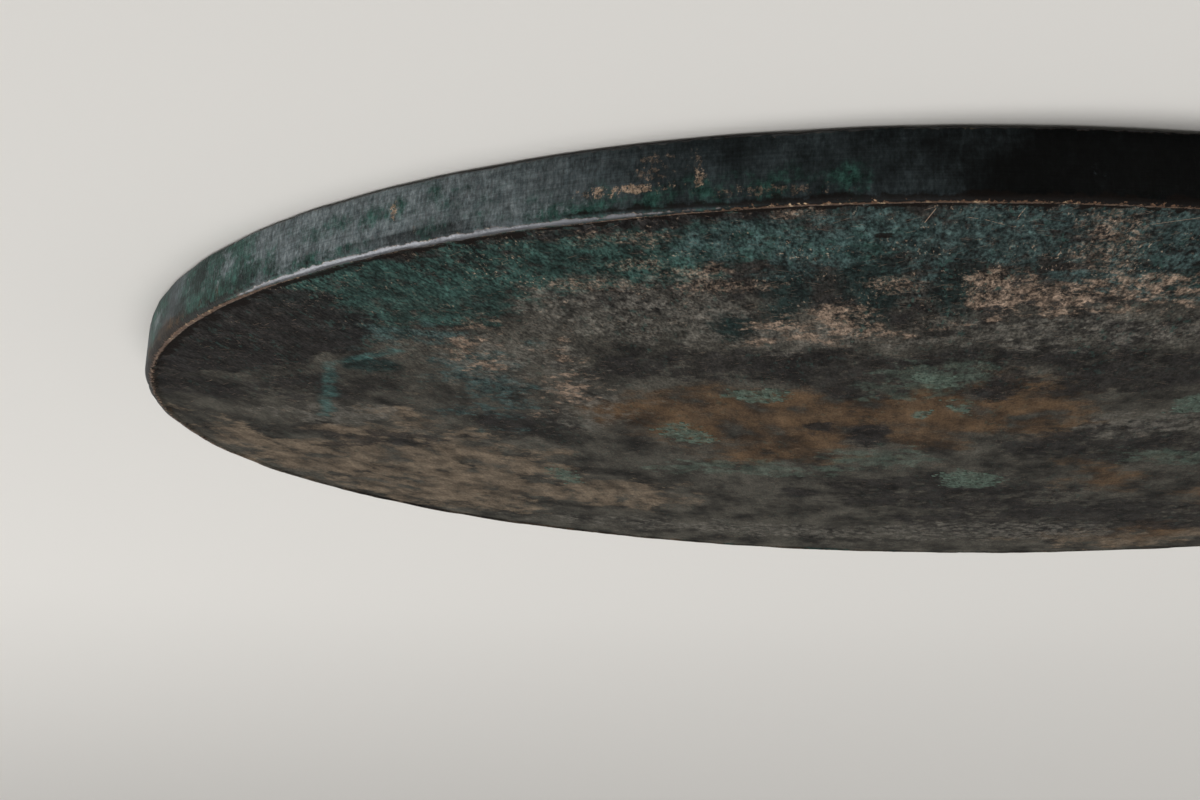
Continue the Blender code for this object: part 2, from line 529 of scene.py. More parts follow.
# Stretches of the wall: degrees round from -Y towards +X, then height, half length and half height in mm.
WALL_COVERS = {
    "stone": (
        (36.5, 1.5, 0.5, 1.3), (40.3, 2, 1.1, 0.9), (33.6, 3.5, 1.8, 0.7), (30.2, 3.8, 1.3, 0.6),
        (54.5, 2.4, 1.6, 0.7), (17.5, 3.7, 2.6, 0.4),
    ),
    "rust": ((49.7, 4.8, 12, 1), (150, 3, 14, 1.6)),
    # The first charcoal stretch, laid in pitch, is partly painted shade on the wall's side away from the key
    # light.
    "charcoal": ((-34, 2.4, 53, 12), (-85, 2.4, 16, 3), (120, 2.4, 18, 3)),
    "teal": (
        (42, 2.3, 8.5, 3.4), (55, 2, 5, 1.8), (28.5, 1.8, 4, 0.4), (14.5, 4.2, 5.5, 0.6),
        (8, 3.9, 1.6, 0.5), (5.2, 3.8, 1.5, 0.5), (1.8, 3.6, 1, 0.7), (-58, 3.2, 12, 1.8),
        (-120, 2.4, 20, 2.2), (175, 2, 14, 1.8),
    ),
    "shade": ((44.5, 1.6, 1.7, 1.5), (47.7, 3.4, 1.4, 0.8), (38.1, 3.9, 1.6, 0.6)),
    "ash": (
        (10.8, 2.3, 0.9, 0.26), (10.7, 1.3, 0.7, 0.3), (8.7, 1.6, 0.3, 0.6), (5.4, 4, 2.6, 0.2),
        (23.8, 3.8, 0.2, 0.25),
    ),
    "tan": ((12.3, 3.2, 2.4, 0.24), (8.6, 2.9, 0.3, 0.6), (25.4, 2, 0.3, 0.6), (-96, 2.6, 3, 0.4)),
    # The first rubbed stretch is also painted sheen, lighter on the wall's side towards the key light.
    "rubbed": ((31.5, 2.4, 22, 7.5), (75, 2.4, 14, 3), (-150, 2.6, 18, 3)),
}

# Ovals on the back, seen through the plate from above.
BACK_COVERS = {
    "stone": ((-30, 34, 26, 9, 40), (52, -24, 22, 8, -62), (-10, -70, 30, 6, 4)),
    "rust": ((14, 20, 22, 9, 28), (-42, -36, 20, 7, -44), (70, 22, 5, 18, 14)),
    "soot": ((-18, -4, 13, 26, 14), (46, 40, 22, 10, 44), (4, 62, 24, 8, -4)),
    "teal": ((30, 52, 32, 8, -30), (-57, -8, 8, 28, 8), (10, -50, 26, 7, 8), (62, -4, 5, 16, -4)),
    "tan": ((0, 0, 5.5, 5.5), (-76, 14, 3, 14, 10)),
    "mint": ((30, 33, 5, 2.2, 30), (-35, 12, 2.4, 4.6), (17, -42, 4.6, 2.2, 10), (-63, -18, 2, 4)),
}

# Runs of metal worn bare along the arris: degrees round, half length and half width in mm.
POLISHED = ((30, 13, 0.36), (22.8, 19, 0.32), (118, 22, 0.3), (-152, 28, 0.3), (-78, 16, 0.25))
COPPERED = ((46, 20, 0.24), (2, 14, 0.13), (-18, 22, 0.06), (-128, 16, 0.2), (165, 40, 0.08))
# The copper-coloured line where no run widens it, as a half width in mm.
THIN_COPPER = -0.02
# The bent line that drying water left, corner by corner.
TIDE = (Vector((44, -46.2)), Vector((52, -41.7)), Vector((61.2, -19.1)))
TIDE_HALF_WIDTH = 0.5
DENTS = ((0.4, -75.1, 0.9, 0.55), (-58, -20, 0.8, 0.5, 30))

# How fast mist and ash thin out towards the middle of a slate streak.
SLATE_SHOWS = 3.0
# How far the covers of the face and of the wall go round the arris between them.
ARRIS_REACH = 1.3
# Lines round the plate that wear first: how far in from its side and how high, in mm.
WEAR_LINES = {"edge": (0.36, EDGE_MM - 0.09), "ridge": (0.72, EDGE_MM - 0.02), "heel": (0.1, 0.1)}
# The face is coarse along its near edge and grows calm over the next 40 mm.
CALM_START = -68
CALM_RUN = 40
# A dark line along the foot of the arris, dirt and painted shade: how far in, how wide, and where it fades
# out round the rim.
DIRT_AND_SHADE_INSET = 1.4
DIRT_AND_SHADE_HALF_WIDTH = 0.5
DIRT_AND_SHADE_MIDDLE = 14
DIRT_AND_SHADE_HALF_SWEEP = 38
DIRT_AND_SHADE_FADE = 16
# Darkening in the back's corners: how far from the foot of the rim, the ridge and the seat.
RIM_CORNER = 1.1
RIDGE_CORNER = 0.8
SEAT_CORNER = 0.2
CORNER_HALF_WIDTH = 0.9


def oval_cover(x, y, middle_x, middle_y, half_x, half_y, turn=0.0):
    """How far inside the oval each point lies, in mm of its shorter half axis, below zero outside."""
    cos, sin = math.cos(math.radians(turn)), math.sin(math.radians(turn))
    along = (x - middle_x) * cos + (y - middle_y) * sin
    across = (y - middle_y) * cos - (x - middle_x) * sin
    return (1 - np.hypot(along / half_x, across / half_y)) * min(half_x, half_y)


def along_wall(angle, middle):
    """How far round the wall each angle lies from the middle, in mm."""
    return np.radians((angle - middle + 180) % 360 - 180) * RADIUS_MM


def stretch_cover(angle, height, middle, middle_height, half_length, half_height):
    """The same on the wall unrolled."""
    along = along_wall(angle, middle) / half_length
    across = (height - middle_height) / half_height
    return (1 - np.hypot(along, across)) * min(half_length, half_height)


def bend_distance(x, y, corners):
    """Distance in mm of each point from the bent line through the corners."""
    nearest = np.full(len(x), np.inf)
    for start, end in zip(corners, corners[1:]):
        run = end - start
        share = np.clip(((x - start.x) * run.x + (y - start.y) * run.y) / run.length_squared, 0, 1)
        nearest = np.minimum(nearest, np.hypot(x - start.x - share * run.x, y - start.y - share * run.y))
    return nearest


def run_width(angle, runs):
    """Half width in mm of the widest run at each angle, tapered to its ends and below zero past them."""
    widest = np.full(len(angle), -FARTHEST)
    for middle, half_length, half_width in runs:
        away = along_wall(angle, middle) / half_length
        widest = np.maximum(widest, half_width * np.clip(1 - away**2, -1, 1))
    return widest


def back_corners(plate):
    """Radii in mm of the back's corners, which are darkened."""
    ridge = plate.ridge_radius / MM
    beside = plate.ridge_width / MM / 2 + RIDGE_CORNER
    rim_foot = RADIUS_MM - (plate.rim + plate.slope) / MM
    return (rim_foot - RIM_CORNER, ridge + beside, ridge - beside, plate.seat_radius / MM + SEAT_CORNER)


def covers(mesh, plate):
    """Cover fields in mm for every part of the patina, one value a vertex."""
    place = np.empty(len(mesh.vertices) * 3)
    mesh.vertices.foreach_get("co", place)
    x, y, z = place.reshape(-1, 3).T / MM
    radius = np.hypot(x, y)
    angle = np.degrees(np.arctan2(x, -y))
    on_face = z > EDGE_MM - ARRIS_REACH
    on_wall = radius > RADIUS_MM - ARRIS_REACH
    on_back = ~on_face & ~on_wall
    fields = {}
    for name in dict.fromkeys((*FACE_COVERS, *WALL_COVERS, *BACK_COVERS)):
        parts = [(on_face, oval_cover(x, y, *patch)) for patch in FACE_COVERS.get(name, ())]
        parts += [(on_wall, stretch_cover(angle, z, *patch)) for patch in WALL_COVERS.get(name, ())]
        parts += [(on_back, oval_cover(x, y, *patch)) for patch in BACK_COVERS.get(name, ())]
        field = np.full(len(x), -FARTHEST)
        for where, cover in parts:
            field = np.where(where, np.maximum(field, cover), field)
        fields[name] = np.clip(field, -FARTHEST, FARTHEST)
    for name in ("mist", "ash"):
        thinned = np.minimum(fields[name], -SLATE_SHOWS * fields["slate"])
        fields[name] = np.where(on_face, thinned, fields[name])
    fields["tide"] = np.where(on_face, TIDE_HALF_WIDTH - bend_distance(x, y, TIDE), -FARTHEST)
    fields["calm"] = np.where(on_face, np.clip((y - CALM_START) / CALM_RUN, 0, 1), 0)
    for name, (inset, height) in WEAR_LINES.items():
        fields[name] = np.hypot(radius - RADIUS_MM + inset, z - height)
    fields["lustre"] = run_width(angle, POLISHED) - fields["edge"]
    fields["copper"] = np.maximum(run_width(angle, COPPERED), THIN_COPPER) - fields["ridge"]
    # The foot field: on the face a line of dirt and painted shade inside the arris, on the back the darkened
    # corners.
    faded = np.clip((np.abs(angle - DIRT_AND_SHADE_MIDDLE) - DIRT_AND_SHADE_HALF_SWEEP) / DIRT_AND_SHADE_FADE, 0, 1)
    along_foot = DIRT_AND_SHADE_HALF_WIDTH - np.abs(radius - RADIUS_MM + DIRT_AND_SHADE_INSET) - faded
    off_corner = np.min([np.abs(radius - corner) for corner in back_corners(plate)], axis=0)
    fields["foot"] = np.where(on_face, along_foot, CORNER_HALF_WIDTH - off_corner)
    dents = [oval_cover(x, y, *dent) for dent in DENTS]
    fields["dent"] = np.where(on_face, np.clip(np.maximum.reduce(dents), -1, 1), -1)
    return fields


def store_covers(mesh, plate):
    """Keep each cover on the mesh as an attribute, for the relief and the materials to read."""
    for name, field in covers(mesh, plate).items():
        attribute = mesh.attributes.new(name, "FLOAT", "POINT")
        attribute.data.foreach_set("value", field.astype(np.float32))


# --- Patterns shared by the relief and the materials ---

# Scraping drew the grain and the mottling out along Y. Noise is halved down to the finest size, in mm.
SCRAPED = (1.0, 2.8, 1.0)
MOTTLED = (1.0, 1.7, 1.0)
FINEST = 0.05
CRUST_GRAIN = 2.2
CRUST_WANDER = 1.8
CRUST_SOFT = 0.35
CRUST_SEED = 5.0


def octaves(size):
    """How many times noise of that size halves before it is too fine to see."""
    return max(0.0, math.log2(size / FINEST))


def blotches(tree, place, size, low, high, seed, detail=4.0, rough=0.62):
    """0 to 1 in clouds of that size in mm: clear below low, full above high."""
    noise = {"Vector": place, "W": seed, "Scale": 1 / size, "Detail": detail, "Roughness": rough}
    clouds = add(tree, "TexNoise", noise, noise_dimensions="4D")
    return add(tree, "MapRange", clouds, low, high, interpolation_type="SMOOTHSTEP")


def ragged(tree, place, cover, grain, wander, soft, seed):
    """0 to 1 inside a cover in mm, its outline wandering with noise of that grain, over a soft edge."""
    noise = {"Vector": place, "W": seed, "Scale": 1 / grain, "Detail": octaves(grain), "Roughness": 0.72}
    drift = add(tree, "TexNoise", noise, noise_dimensions="4D")
    shift = add(tree, "Math:MULTIPLY_ADD", drift, 4 * wander, -2 * wander)
    shifted = add(tree, "Math:ADD", cover, shift)
    return add(tree, "MapRange", shifted, -soft, soft, interpolation_type="SMOOTHSTEP")


# --- Relief: a Geometry Nodes tree over the turned mesh ---

# Sizes in mm of the waves, the rubbed stretches, the nicks, the gaps between pits and the crust's lumps.
WAVE_SIZE = 24.0
RUB_SIZE = 6.0
NICK_SIZE = 2.4
PIT_SPACING = 4.5
LUMP_SIZE = 1.4
# How far from the arris's and the heel's line wear begins, and where it is full, in mm.
ARRIS_WEAR = (1.2, 0.2)
HEEL_WEAR = (0.8, 0.1)
NICK_DEPTH = 1.2
# A pit's edge and floor as shares of its cell, and which cells have a pit.
PIT_BOWL = (0.24, 0.02)
PIT_LOT = (0.62, 0.95)
DENT_DEPTH = 1.5
WART_FLATNESS = 0.3
WART_SIZES = {"Min": 0.45, "Max": 1.35}


def new_tree(name, sockets):
    """A geometry tree with a geometry input, the named inputs and a geometry output."""
    tree = bpy.data.node_groups.new(name, "GeometryNodeTree")
    tree.interface.new_socket("Geometry", in_out="INPUT", socket_type="NodeSocketGeometry")
    for title, kind in sockets.items():
        tree.interface.new_socket(title, in_out="INPUT", socket_type=kind)
    tree.interface.new_socket("Geometry", in_out="OUTPUT", socket_type="NodeSocketGeometry")
    return tree


def run_tree(obj, tree, values, name):
    """The object's mesh as the tree leaves it, with its inputs set by identifier."""
    modifier = obj.modifiers.new(tree.name, "NODES")
    modifier.node_group = tree
    for item in tree.interface.items_tree:
        if item.in_out == "INPUT" and item.name in values:
            modifier[item.identifier] = values[item.name]
    return evaluated_mesh(obj, name)


def place_in_mm(tree, kind, **settings):
    """The surface point in mm, from the node that gives it in metres."""
    given = add(tree, kind, **settings)
    source = given.outputs["Object"] if "Object" in given.outputs else given
    return add(tree, "VectorMath:SCALE", source, {"Scale": 1 / MM})


def relief_tree(materials):
    """Waves, worn edges, pits, dents and crust, as offsets along the surface's normal."""
    sizes = dict.fromkeys(("Waviness", "Wear", "Pitting", "Crust"), "NodeSocketFloat")
    tree = new_tree("Worn relief", {**sizes, "Seed": "NodeSocketInt"})
    given = add(tree, "NodeGroupInput").outputs
    place = place_in_mm(tree, "GeometryNodeInputPosition")
    read = {
        name: add(tree, "GeometryNodeInputNamedAttribute", {"Name": name}, data_type="FLOAT")
        for name in ("edge", "heel", "dent", "mint")
    }
    seed = given["Seed"]

    slow = blotches(tree, place, WAVE_SIZE, 0.3, 0.7, seed, detail=2.0)
    near = [
        add(tree, "MapRange", read[name], *reach, interpolation_type="SMOOTHSTEP")
        for name, reach in (("edge", ARRIS_WEAR), ("heel", HEEL_WEAR))
    ]
    edges = add(tree, "Math:MAXIMUM", *near)
    rubbed = blotches(tree, place, RUB_SIZE, 0.35, 0.65, seed)
    nicks = blotches(tree, place, NICK_SIZE, 0.62, 0.72, seed, detail=2.0)
    knocks = add(tree, "Math:MULTIPLY_ADD", nicks, NICK_DEPTH, rubbed)
    at_edges = add(tree, "Math:MULTIPLY", knocks, edges)

    cells = add(tree, "TexVoronoi", {"Vector": place, "Scale": 1 / PIT_SPACING})
    lot = add(tree, "SeparateXYZ", cells.outputs["Color"])
    middle = cells.outputs["Distance"]
    hollow = add(tree, "MapRange", middle, *PIT_BOWL, interpolation_type="SMOOTHSTEP")
    chosen = add(tree, "MapRange", lot, *PIT_LOT)
    pits = add(tree, "Math:MULTIPLY", hollow, chosen)
    dents = add(tree, "MapRange", {"Value": read["dent"], "From Max": 0.6, "To Max": DENT_DEPTH})
    holes = add(tree, "Math:MAXIMUM", pits, dents)

    crust = ragged(tree, place, read["mint"], CRUST_GRAIN, CRUST_WANDER, CRUST_SOFT, CRUST_SEED)
    lumps = blotches(tree, place, LUMP_SIZE, 0.2, 0.75, seed)
    lumpy = add(tree, "Math:MULTIPLY", crust, lumps)

    height = add(tree, "Math:MULTIPLY", lumpy, given["Crust"])
    for share, depth in ((slow, "Waviness"), (at_edges, "Wear"), (holes, "Pitting")):
        sunk = add(tree, "Math:MULTIPLY", share, given[depth])
        height = add(tree, "Math:SUBTRACT", height, sunk)
    normal = add(tree, "GeometryNodeInputNormal")
    offset = add(tree, "VectorMath:SCALE", normal, {"Scale": height})
    moved = add(tree, "GeometryNodeSetPosition", {"Geometry": given["Geometry"], "Offset": offset})
    stored = {"Geometry": moved, "Name": "crust", "Value": crust}
    geometry = add(tree, "GeometryNodeStoreNamedAttribute", stored, data_type="FLOAT", domain="POINT")
    geometry = add(tree, "GeometryNodeRealizeInstances", {"Geometry": geometry})
    finish = add(tree, "GeometryNodeInputNamedAttribute", {"Name": "finish"}, data_type="INT")
    for k, material in enumerate(materials):
        sides = {"A": finish, "B": k}
        at_least = add(tree, "FunctionNodeCompare", sides, data_type="INT", operation="GREATER_EQUAL")
        dressed = {"Geometry": geometry, "Selection": at_least, "Material": material}
        geometry = add(tree, "GeometryNodeSetMaterial", dressed)
    add(tree, "NodeGroupOutput", geometry)
    return tree


def crust_tree(material):
    """Flattened warts scattered over the crust, each a little dome of a few dozen faces."""
    sockets = {"Density": "NodeSocketFloat", "Size": "NodeSocketFloat", "Seed": "NodeSocketInt"}
    tree = new_tree("Crust warts", sockets)
    given = add(tree, "NodeGroupInput").outputs
    crust = add(tree, "GeometryNodeInputNamedAttribute", {"Name": "crust"}, data_type="FLOAT")
    density = add(tree, "Math:MULTIPLY", crust, given["Density"])
    spread = {"Mesh": given["Geometry"], "Density": density, "Seed": given["Seed"]}
    points = add(tree, "GeometryNodeDistributePointsOnFaces", spread, distribute_method="RANDOM")
    wart = add(tree, "GeometryNodeMeshUVSphere", {"Segments": 8, "Rings": 5, "Radius": given["Size"]})
    flat = add(tree, "GeometryNodeTransform", {"Geometry": wart, "Scale": (1.0, 1.0, WART_FLATNESS)})
    variety = {**WART_SIZES, "Seed": given["Seed"]}
    scale = add(tree, "FunctionNodeRandomValue", variety, data_type="FLOAT")
    placed = {"Points": points, "Instance": flat, "Rotation": points.outputs["Rotation"], "Scale": scale}
    warts = add(tree, "GeometryNodeInstanceOnPoints", placed)
    real = add(tree, "GeometryNodeRealizeInstances", {"Geometry": warts})
    smooth = add(tree, "GeometryNodeSetShadeSmooth", {"Geometry": real})
    dressed = add(tree, "GeometryNodeSetMaterial", {"Geometry": smooth, "Material": material})
    add(tree, "NodeGroupOutput", dressed)
    return tree


# --- Materials ---


class Layer(NamedTuple):
    """One kind of patina, laid over what is listed before it.

    Sizes are in mm: grain, wander and soft shape its outline, clouds its mottling and the gaps in it.
    Gaps is the share left open, most is how much it hides, and drawn stretches it along X, Y and Z.
    """

    cover: str
    tones: str
    grain: float
    wander: float
    soft: float
    clouds: float
    gaps: float
    most: float
    drawn: tuple = ()


FACE_LAYERS = (
    Layer("stone", "stone", 9, 12, 2, 3, 0.42, 0.75),
    Layer("rust", "rust", 9, 8, 3, 5, 0.42, 0.85),
    Layer("soot", "charcoal", 7, 8, 1.6, 2, 0.42, 0.8),
    Layer("slate", "slate", 3, 1.6, 0.8, 1.2, 0.36, 0.9, (1, 2.6, 1)),
    Layer("teal", "teal", 6, 8, 1.6, 1.6, 0.40, 0.85),
    Layer("mist", "mist", 5, 9, 1.6, 1, 0.42, 0.8),
    Layer("ash", "ash", 4, 8, 1.6, 1.2, 0.47, 0.48),
    Layer("charcoal", "charcoal", 3, 2, 0.6, 2, 0.34, 0.9),
    Layer("tan", "tan", 4, 7.5, 1.3, 0.9, 0.48, 0.8),
    Layer("frost", "tan", 1.6, 2, 0.9, 0.4, 0.5, 0.6),
    Layer("sage", "mint", 3, 5, 1, 1.6, 0.44, 0.45),
    Layer("tide", "tide", 3, 1, 0.5, 1.6, 0.36, 0.7),
    Layer("mint", "mint", CRUST_GRAIN, CRUST_WANDER, CRUST_SOFT, 1.2, 0.41, 0.75),
)

WALL_LAYERS = (
    # Pewter over the rubbed stretches: skin rubbed by hands, and painted sheen on the side towards the key
    # light.
    Layer("rubbed", "pewter_and_sheen", 6, 2, 4.5, 1, 0.27, 0.95),
    # Pitch over the charcoal stretches: dark patina, and painted shade on the wall's side away from the key
    # light.
    Layer("charcoal", "pitch", 8, 5, 4, 2, 0.3, 0.99),
    Layer("rust", "rust", 2.5, 1.6, 0.6, 1.2, 0.42, 0.7),
    Layer("teal", "verdigris", 2.4, 2, 0.8, 0.8, 0.40, 0.92),
    Layer("shade", "slate", 1.2, 1.6, 0.5, 0.7, 0.36, 0.85),
    Layer("stone", "pewter_and_sheen", 0.8, 1, 0.4, 0.6, 0.38, 0.9),
    Layer("ash", "tan", 0.5, 0.5, 0.1, 0.25, 0.47, 0.6),
    Layer("tan", "fleck", 0.5, 0.4, 0.1, 0.25, 0.42, 0.9),
)

BACK_LAYERS = (
    Layer("stone", "stone", 12, 18, 4, 3, 0.44, 0.6),
    Layer("rust", "rust", 11, 14, 4, 3, 0.45, 0.65),
    Layer("soot", "charcoal", 12, 16, 3, 2, 0.42, 0.75),
    Layer("teal", "teal", 9, 16, 3, 1.8, 0.44, 0.8),
    Layer("tan", "tan", 4, 8, 1.6, 1.4, 0.48, 0.6),
    Layer("mint", "mint", CRUST_GRAIN, CRUST_WANDER, CRUST_SOFT, 1.2, 0.41, 0.8),
)


# Metal worn bare: its roughness, and how far from the crest's and the heel's line it shows, in mm.
WORN_ROUGHNESS = 0.42
LINE_REACH = 0.1
# The dark brow beside the arris, dirt and painted shade over the arris's rounding: how far it goes, in mm,
# and how much it hides.
BROW_REACH = 0.5
BROW_DIRT_AND_SHADE = 0.85
GROUND_CLOUDS = 5.0
GAP_SOFTNESS = 0.07
# Size in mm, swing in tone and seed. Real grit is 0.05 to 0.1 mm across and is drawn coarser, to show.
GRIT = ((0.24, 0.7, 41.0), (1.1, 0.4, 42.0))
GRIT_REGION = 6.0
DOT_SOFTNESS = 0.05
SCRATCH_CORE = 0.4

# Bright hairlines in the face, in mm: where each starts and ends, and its width.
SCRATCHES = (
    (-4, -78.9, -6.1, -77.9, 0.04),
    (-6, -77.95, -7.8, -76.5, 0.035),
    (-2.8, -80.2, -2.1, -77.4, 0.035),
    (-8.3, -79.9, -8, -78.4, 0.035),
    (-16.2, -76.4, -19.2, -77.6, 0.035),
    (-24, -70.9, -29, -64, 0.035),
    (-62, 8, -49, 16, 0.06),
)


def laid_over(tree, colour, tone, *shares):
    """The tone over the colour, as strongly as the shares multiplied together."""
    strength = shares[0]
    for share in shares[1:]:
        strength = add(tree, "Math:MULTIPLY", strength, share)
    return add(tree, "Mix", {"Factor": strength, "A": colour, "B": tone}, data_type="RGBA")


def shaded(tree, colour, field, low, high):
    """The colour times a value that goes from low to high with the field."""
    value = add(tree, "MapRange", {"Value": field, "To Min": low, "To Max": high})
    return add(tree, "VectorMath:SCALE", colour, {"Scale": value})


def toned(tree, place, patina, tones, clouds, seed, rough=0.8):
    """A patina's two tones, mottled in clouds of that size."""
    mottling = blotches(tree, place, clouds, 0.32, 0.68, seed, octaves(clouds), rough)
    dark, light = (getattr(patina, f"{tones}_{end}") for end in ("dark", "light"))
    return laid_over(tree, dark, light, mottling)


def stretched(tree, place, sizes, turn=0.0):
    """The place squeezed so that noise of scale 1 is drawn out to those sizes in mm."""
    scale = tuple(1 / size for size in sizes)
    level = add(tree, "Mapping", {"Vector": place, "Rotation": (0.0, 0.0, math.radians(turn))})
    return add(tree, "Mapping", {"Vector": level, "Scale": scale})


def patina_colour(tree, place, mottled, patina, ground, layers, rough=0.8):
    """The ground's tones with each layer over it, broken at its outline and inside."""
    colour = toned(tree, mottled, patina, ground, GROUND_CLOUDS, 1.0, rough)
    for k, layer in enumerate(layers):
        seed = CRUST_SEED if layer.cover == "mint" else 3.0 * k + 6.0
        here = stretched(tree, place, layer.drawn) if layer.drawn else place
        gaps = here if layer.drawn else mottled
        cover = add(tree, "Attribute", attribute_name=layer.cover).outputs["Fac"]
        inside = ragged(tree, here, cover, layer.grain, layer.wander, layer.soft, seed)
        low, high = layer.gaps - GAP_SOFTNESS, layer.gaps + GAP_SOFTNESS
        kept = blotches(tree, gaps, layer.clouds, low, high, seed + 1.0, octaves(layer.clouds), rough)
        over = toned(tree, mottled, patina, layer.tones, layer.clouds, seed + 2.0, rough)
        colour = laid_over(tree, colour, over, inside, kept, layer.most)
    return colour


def gritty(tree, place, colour, dots, amount):
    """Grain like sand over the colour: a rise and fall in tone, then dots.

    Each kind of dot has its colour, its size in mm, how rare it is and how much it hides.
    """
    for size, depth, seed in GRIT:
        tone = blotches(tree, place, size, 0.3, 0.7, seed, detail=3.0)
        swing = add(tree, "MapRange", {"Value": tone, "To Min": -depth, "To Max": depth})
        value = add(tree, "Math:MULTIPLY_ADD", swing, amount, 1.0)
        colour = add(tree, "VectorMath:SCALE", colour, {"Scale": value})
    region = blotches(tree, place, GRIT_REGION, 0.35, 0.65, seed=43.0, detail=6.0)
    where = add(tree, "Math:MULTIPLY", region, amount)
    for k, (dot, size, low, share) in enumerate(dots):
        spots = blotches(tree, place, size, low, low + DOT_SOFTNESS, 45.0 + 2 * k, detail=3.0)
        colour = laid_over(tree, colour, dot, spots, where, share)
    return colour


def scratched(tree, place, colour, patina):
    """Single hairlines where something hard was dragged over the face."""
    broken = blotches(tree, place, 0.7, 0.42, 0.52, seed=75.0)
    for x, y, to_x, to_y, width in SCRATCHES:
        run = Vector((to_x - x, to_y - y))
        turn = (0.0, 0.0, math.atan2(run.y, run.x))
        length = (run.length, 1.0, 1.0)
        settled = {"Vector": place, "Location": (x, y, 0.0), "Rotation": turn, "Scale": length}
        line = add(tree, "Mapping", settled, vector_type="TEXTURE")
        parts = add(tree, "SeparateXYZ", line).outputs
        along = add(tree, "Math:COMPARE", parts["X"], 0.5, 0.5)
        off = add(tree, "Math:ABSOLUTE", parts["Y"])
        thin = add(tree, "MapRange", off, width, SCRATCH_CORE * width)
        colour = laid_over(tree, colour, patina.tan_light, along, thin, broken)
    return colour


def bare_metal(tree, place, patina):
    """Where arris and heel are worn down to metal, that metal's colour, and the dark brow beside it, of dirt
    and painted shade.
    """
    read = {
        name: add(tree, "Attribute", attribute_name=name).outputs["Fac"]
        for name in ("edge", "ridge", "copper", "heel", "lustre")
    }
    tinned = ragged(tree, place, read["lustre"], 1.2, 0.28, 0.06, seed=63.0)
    thin = ragged(tree, place, read["copper"], 0.5, 0.16, 0.04, seed=65.0)
    patches = blotches(tree, place, 3.0, 0.38, 0.5, seed=66.0, detail=6.0)
    on_ridge = add(tree, "Math:SUBTRACT", LINE_REACH, read["ridge"])
    specks = ragged(tree, place, on_ridge, 0.4, 0.6, 0.08, seed=68.0)
    streak = add(tree, "Math:MULTIPLY", thin, patches)
    low = add(tree, "Math:SUBTRACT", LINE_REACH, read["heel"])
    foot = ragged(tree, place, low, 0.8, 0.3, 0.06, seed=64.0)
    faint = add(tree, "Math:MULTIPLY", foot, 0.5)
    lines = add(tree, "Math:MAXIMUM", streak, faint)
    glints = blotches(tree, place, 0.5, 0.55, 0.65, seed=67.0)
    coppery = laid_over(tree, patina.metal, patina.glint, glints)
    grey = add(tree, "Math:MAXIMUM", tinned, foot)
    metal = laid_over(tree, coppery, patina.silver, grey)
    # The brow: dirt, and painted shade over the arris's rounding, which the lamps would otherwise light.
    beside = add(tree, "Math:SUBTRACT", BROW_REACH, read["edge"])
    dark = ragged(tree, place, beside, 1.6, 0.5, 0.15, seed=69.0)
    elsewhere = add(tree, "MapRange", read["lustre"], -0.1, -0.3)
    brow_dirt_and_shade = add(tree, "Math:MULTIPLY", dark, elsewhere)
    specked = add(tree, "Math:MULTIPLY", brow_dirt_and_shade, specks)
    bare = add(tree, "Math:MAXIMUM", lines, specked)
    worn = add(tree, "Math:MAXIMUM", bare, tinned)
    return worn, metal, brow_dirt_and_shade


def edged(tree, place, colour, patina):
    """The colour with the dark brow, dirt and painted shade, and the bare metal of the arris over it, and
    where that metal is.
    """
    worn, metal, brow_dirt_and_shade = bare_metal(tree, place, patina)
    colour = laid_over(tree, colour, patina.rim_line, brow_dirt_and_shade, BROW_DIRT_AND_SHADE)
    return laid_over(tree, colour, metal, worn), worn


def darkened_corners(tree, place, colour, patina, soft, most):
    """Brown-black along the foot of the arris, dirt and painted shade, and darkening in the back's corners
    and in the dents.
    """
    foot = add(tree, "Attribute", attribute_name="foot").outputs["Fac"]
    dent = add(tree, "Attribute", attribute_name="dent").outputs["Fac"]
    line = ragged(tree, place, foot, 1.4, 1.2, soft, seed=71.0)
    hollow = ragged(tree, place, dent, 0.8, 0.3, 0.1, seed=73.0)
    both = add(tree, "Math:MAXIMUM", line, hollow)
    return laid_over(tree, colour, patina.rim_line, both, most)


def new_material(name):
    """A material, its empty tree, and the surface point in mm."""
    material = bpy.data.materials.new(name)
    material.use_nodes = True
    tree = material.node_tree
    tree.nodes.clear()
    return material, tree, place_in_mm(tree, "TexCoord")


def finish_material(material, colour, bumps, roughness, specular, worn=None, strength=1.0):
    """Close the tree on one shader: colour, roughness, bumps with their depths in mm, and worn metal."""
    tree = material.node_tree
    shader = {"Base Color": colour, "Roughness": roughness, "Specular IOR Level": specular}
    if worn:
        smoother = {"Value": worn, "To Min": roughness, "To Max": WORN_ROUGHNESS}
        shader["Roughness"] = add(tree, "MapRange", smoother)
        shader["Metallic"] = worn
    for height, depth in bumps:
        given = {"Height": height, "Distance": depth * MM, "Strength": strength}
        if "Normal" in shader:
            given["Normal"] = shader["Normal"]
        shader["Normal"] = add(tree, "Bump", given)
    surface = add(tree, "BsdfPrincipled", shader)
    add(tree, "OutputMaterial", {"Surface": surface})
    return material


def rough_cast(tree, place, lump, lump_depth, grit, grit_depth):
    """Lumps and grit of those sizes, each with its depth, all in mm."""
    lumps = blotches(tree, place, lump, 0.3, 0.7, seed=93.0)
    grains = blotches(tree, place, grit, 0.2, 0.8, seed=91.0, detail=3.0)
    return ((lumps, lump_depth), (grains, grit_depth))


